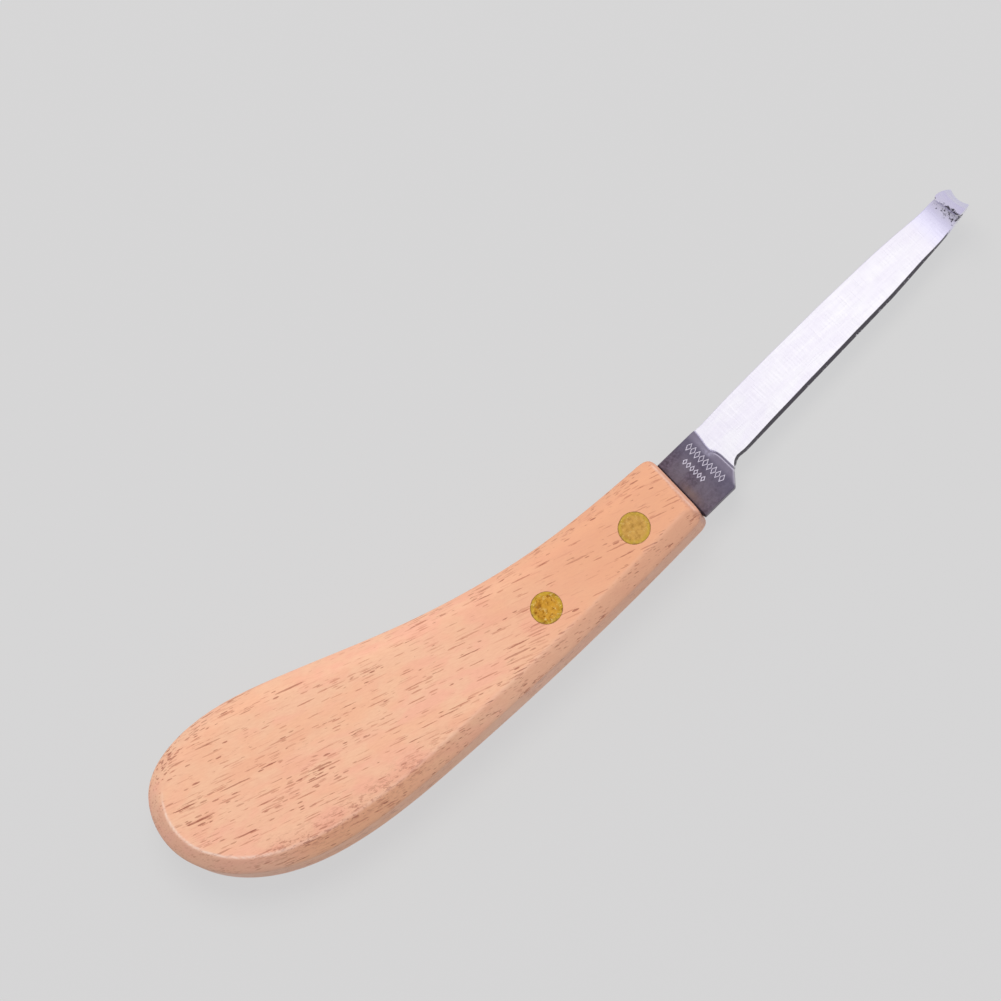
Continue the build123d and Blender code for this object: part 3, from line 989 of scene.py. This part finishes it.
def blade_steel():
    """Ground and polished steel, under dark scale on the ricasso, with painted dark specks for dark
    reflections and shade, and painted highlights, shadows and reflections.
    """
    nodes = Nodes("blade_steel")
    names = ("ground", "curl", "bare", "smear", "ledge", "wall", "seam", "stain")
    ground, curl, bare, smear, ledge, wall, seam, stain = (nodes.stored(name) for name in names)
    cloud = nodes.noise(nodes.place(0, (9, 3, 3)), 3, 0.55)
    spots = nodes.noise(nodes.place(0, (0.5, 0.5, 0.5)), 3, 0.6)
    lines = nodes.noise(nodes.place(4, (14, 0.09, 0.09)), 3, 0.6)
    cross = nodes.noise(nodes.place(0, (0.16, 5, 5), (2, 5, 8)), 2, 0.6)
    speck = nodes.noise(nodes.place(0, (0.6, 0.6, 0.6), (1, 4, 2)), 3, 0.7, 0.5)
    speck = nodes.ramp(nodes.plus(bare, nodes.times(nodes.minus(speck, 0.5), 1.3)), 0.46, 0.62)
    dark = scaled_steel(nodes, cloud, spots, smear, stain)
    bright = nodes.mix(nodes.ramp(cloud, 0.35, 0.7), rgb(245, 242, 253), rgb(250, 249, 255))
    # Painted reflection: lilac on the bend and the hook.
    bright = nodes.mix(curl, bright, rgb(232, 229, 255))
    colour = nodes.coats(
        nodes.mix(ground, dark, bright),
        # Painted highlight along the ground face's start.
        (nodes.times(ledge, 0.9), rgb(232, 228, 238)),
        # Painted shadow on the plunge wall.
        (nodes.times(wall, 0.9), rgb(84, 74, 88)),
        # Painted shadow where the steel meets the wood.
        (nodes.times(seam, 0.85), rgb(40, 32, 34)),
        # Painted dark specks: dark reflections on the sharpened bevel, and shade at the lip and inside the
        # hook.
        (nodes.times(speck, 0.92), rgb(54, 48, 58)),
    )
    bright_rough = nodes.ramp(nodes.plus(lines, cross), 0.7, 1.3, 0.2, 0.3, "LINEAR")
    dark_rough = nodes.ramp(spots, 0.3, 0.7, 0.4, 0.5, "LINEAR")
    rough = nodes.add("ShaderNodeMix", {0: ground, 2: dark_rough, 3: bright_rough}).outputs[0]
    scratches = nodes.times(nodes.plus(nodes.times(lines, 0.6), nodes.times(cross, 0.4)), ground)
    pits = nodes.times(spots, nodes.minus(1.0, ground))
    normal = nodes.bump(scratches, 0.14, 0.00001)
    normal = nodes.bump(pits, 0.25, 0.00004, normal)
    return nodes.finish(Base_Color=colour, Metallic=1.0, Roughness=rough, Normal=normal)


def stamped_steel():
    """The bright steel in the engraved diamonds."""
    nodes = Nodes("stamped_steel")
    spots = nodes.noise(nodes.place(0, (0.5, 0.5, 0.5)), 3)
    colour = nodes.mix(nodes.ramp(spots, 0.35, 0.65), rgb(214, 208, 220), rgb(252, 248, 255))
    return nodes.finish(Base_Color=colour, Metallic=1.0, Roughness=nodes.ramp(spots, 0.3, 0.7, 0.3, 0.45))


def brass(name, middle, dark, light, mottle):
    """Worn brass with a darker, uneven rim. mottle says how strong its spots are."""
    nodes = Nodes(name)
    blotch = nodes.noise(nodes.place(0, (1.5, 1.5, 1.5)), 3, 0.6, 0.6)
    pits = nodes.noise(nodes.place(0, (0.8, 0.8, 0.8), (3, 1, 6)), 3, 0.65, 0.5)
    glints = nodes.noise(nodes.place(0, (0.75, 0.75, 0.75), (4, 8, 1)), 3, 0.7, 0.5)
    rim = nodes.stored("rim")
    uneven_rim = nodes.plus(rim, nodes.times(nodes.minus(blotch, 0.5), 0.5))
    colour = nodes.coats(
        middle,
        (nodes.ramp(blotch, 0.42, 0.7, 0, 0.7), dark),
        (nodes.ramp(rim, 0.66, 0.92, 0, 0.6), rgb(224, 194, 70)),
        (nodes.ramp(pits, 0.54, 0.68, 0, mottle), dark),
        (nodes.ramp(glints, 0.55, 0.68, 0, mottle), light),
        (nodes.ramp(uneven_rim, 0.93, 1.0, 0, 0.5), rgb(186, 146, 84)),
    )
    normal = nodes.bump(nodes.minus(glints, pits), 0.4, 0.00006)
    rough = nodes.ramp(pits, 0.3, 0.7, 0.34, 0.52)
    return nodes.finish(Base_Color=colour, Metallic=1.0, Roughness=rough, Normal=normal)


def floor_paint():
    """Pale and shining a little by itself, so that shadows on it stay faint."""
    nodes = Nodes("pale_floor")
    shine = {"Emission_Color": (1, 1, 1), "Emission_Strength": 0.572}
    return nodes.finish(Base_Color=(0.1, 0.1, 0.1), Roughness=0.9, Specular_IOR_Level=0.0, **shine)


# ---- Stage ----


def floor():
    """A wide pale floor, a hair under the knife."""
    mesh = bpy.data.meshes.new("floor")
    far = 8.0
    low = HANDLE_LOW.z - 0.00005
    square = [(-far, -far, low), (far, -far, low), (far, far, low), (-far, far, low)]
    mesh.from_pydata(square, [], [(0, 1, 2, 3)])
    mesh.materials.append(floor_paint())
    piece = bpy.data.objects.new("floor", mesh)
    bpy.context.scene.collection.objects.link(piece)


def studio():
    """Soft light from all round: white and brightest overhead, cooler low down, dimmest on the side that the
    butt and the cutting edge look to."""
    world = bpy.data.worlds.new("studio")
    bpy.context.scene.world = world
    world.use_nodes = True
    nodes, link = world.node_tree.nodes, world.node_tree.links.new
    coords = nodes.new("ShaderNodeTexCoord")

    def lobe(toward, start, end, to):
        """A number that goes from 0 to the given value as the direction nears toward."""
        dot = nodes.new("ShaderNodeVectorMath")
        dot.operation = "DOT_PRODUCT"
        link(coords.outputs["Generated"], dot.inputs[0])
        dot.inputs[1].default_value = Vector(toward).normalized()
        step = nodes.new("ShaderNodeMapRange")
        step.interpolation_type = "SMOOTHSTEP"
        link(dot.outputs["Value"], step.inputs["Value"])
        for key, value in (("From Min", start), ("From Max", end), ("To Min", 0.0), ("To Max", to)):
            step.inputs[key].default_value = value
        return step.outputs["Result"]

    overhead = lobe((0, 0.08, 1), 0.962, 0.994, 1.0)
    tint = nodes.new("ShaderNodeMix")
    tint.data_type = "RGBA"
    tint.inputs[6].default_value = (0.62, 0.595, 0.7, 1)
    tint.inputs[7].default_value = (1.2, 1.19, 1.15, 1)
    link(overhead, tint.inputs[0])
    dim = nodes.new("ShaderNodeMath")
    dim.operation = "ADD"
    dim.inputs[1].default_value = 1.0
    link(lobe((-0.88, -0.48, 0.2), 0.2, 0.95, -0.64), dim.inputs[0])
    back = nodes["Background"]
    link(tint.outputs[2], back.inputs["Color"])
    link(dim.outputs[0], back.inputs["Strength"])


def lamp(name, toward, distance, size, power, colour):
    """A round soft light that looks at the knife from the given side."""
    data = bpy.data.lights.new(name, "AREA")
    data.shape = "DISK"
    data.size = size
    data.energy = power
    data.color = colour
    piece = bpy.data.objects.new(name, data)
    way = Vector(toward).normalized()
    piece.location = Vector((0, 0, 0.01)) + way * distance
    piece.rotation_euler = way.to_track_quat("Z", "Y").to_euler()
    piece.visible_camera = False
    piece.visible_glossy = False
    bpy.context.scene.collection.objects.link(piece)


def camera():
    """Almost straight above the knife, tipped towards its cutting-edge side, with the blade pointing up to
    the right."""
    roll, tip = math.radians(46.3), math.radians(9.0)
    frame_width = 0.20113
    aim = ORIGIN + Vector((-26.75, 25.4, 0)) * MM  # the middle of the view
    data = bpy.data.cameras.new("camera")
    data.sensor_width = 36
    data.lens = 300
    data.clip_end = 100
    distance = frame_width * data.lens / data.sensor_width
    right = Vector((math.cos(roll), -math.sin(roll) * math.cos(tip), -math.sin(roll) * math.sin(tip)))
    up = Vector((math.sin(roll), math.cos(roll) * math.cos(tip), math.cos(roll) * math.sin(tip)))
    back = Vector((0, -math.sin(tip), math.cos(tip)))
    piece = bpy.data.objects.new("camera", data)
    turn = Matrix((right, up, back)).transposed().to_4x4()
    piece.matrix_world = Matrix.Translation(aim + back * distance) @ turn
    bpy.context.scene.collection.objects.link(piece)
    bpy.context.scene.camera = piece


def build():
    """The stage first, then the knife's pieces."""
    camera()
    floor()
    studio()
    lamp("key", (0.22, 0.27, 0.94), 1.4, 0.7, 10.4, (1.0, 0.97, 0.86))
    bpy.context.scene.view_settings.view_transform = "Standard"

    wooden = handle(wood())
    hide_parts("handle")
    steel = blade(blade_steel(), stamped_steel())
    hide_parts("blade")
    mottled = brass("mottled_brass", rgb(240, 180, 66), rgb(180, 116, 34), rgb(255, 226, 140), 0.9)
    plain = brass("plain_brass", rgb(234, 184, 96), rgb(206, 156, 70), rgb(250, 214, 128), 0.6)
    heads = rivet_pair("front", FRONT_RIVET_X, plain, 3.0) + rivet_pair("rear", REAR_RIVET_X, mottled, 8.0)
    for piece in [wooden, steel] + heads:
        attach(piece, "root")


build()
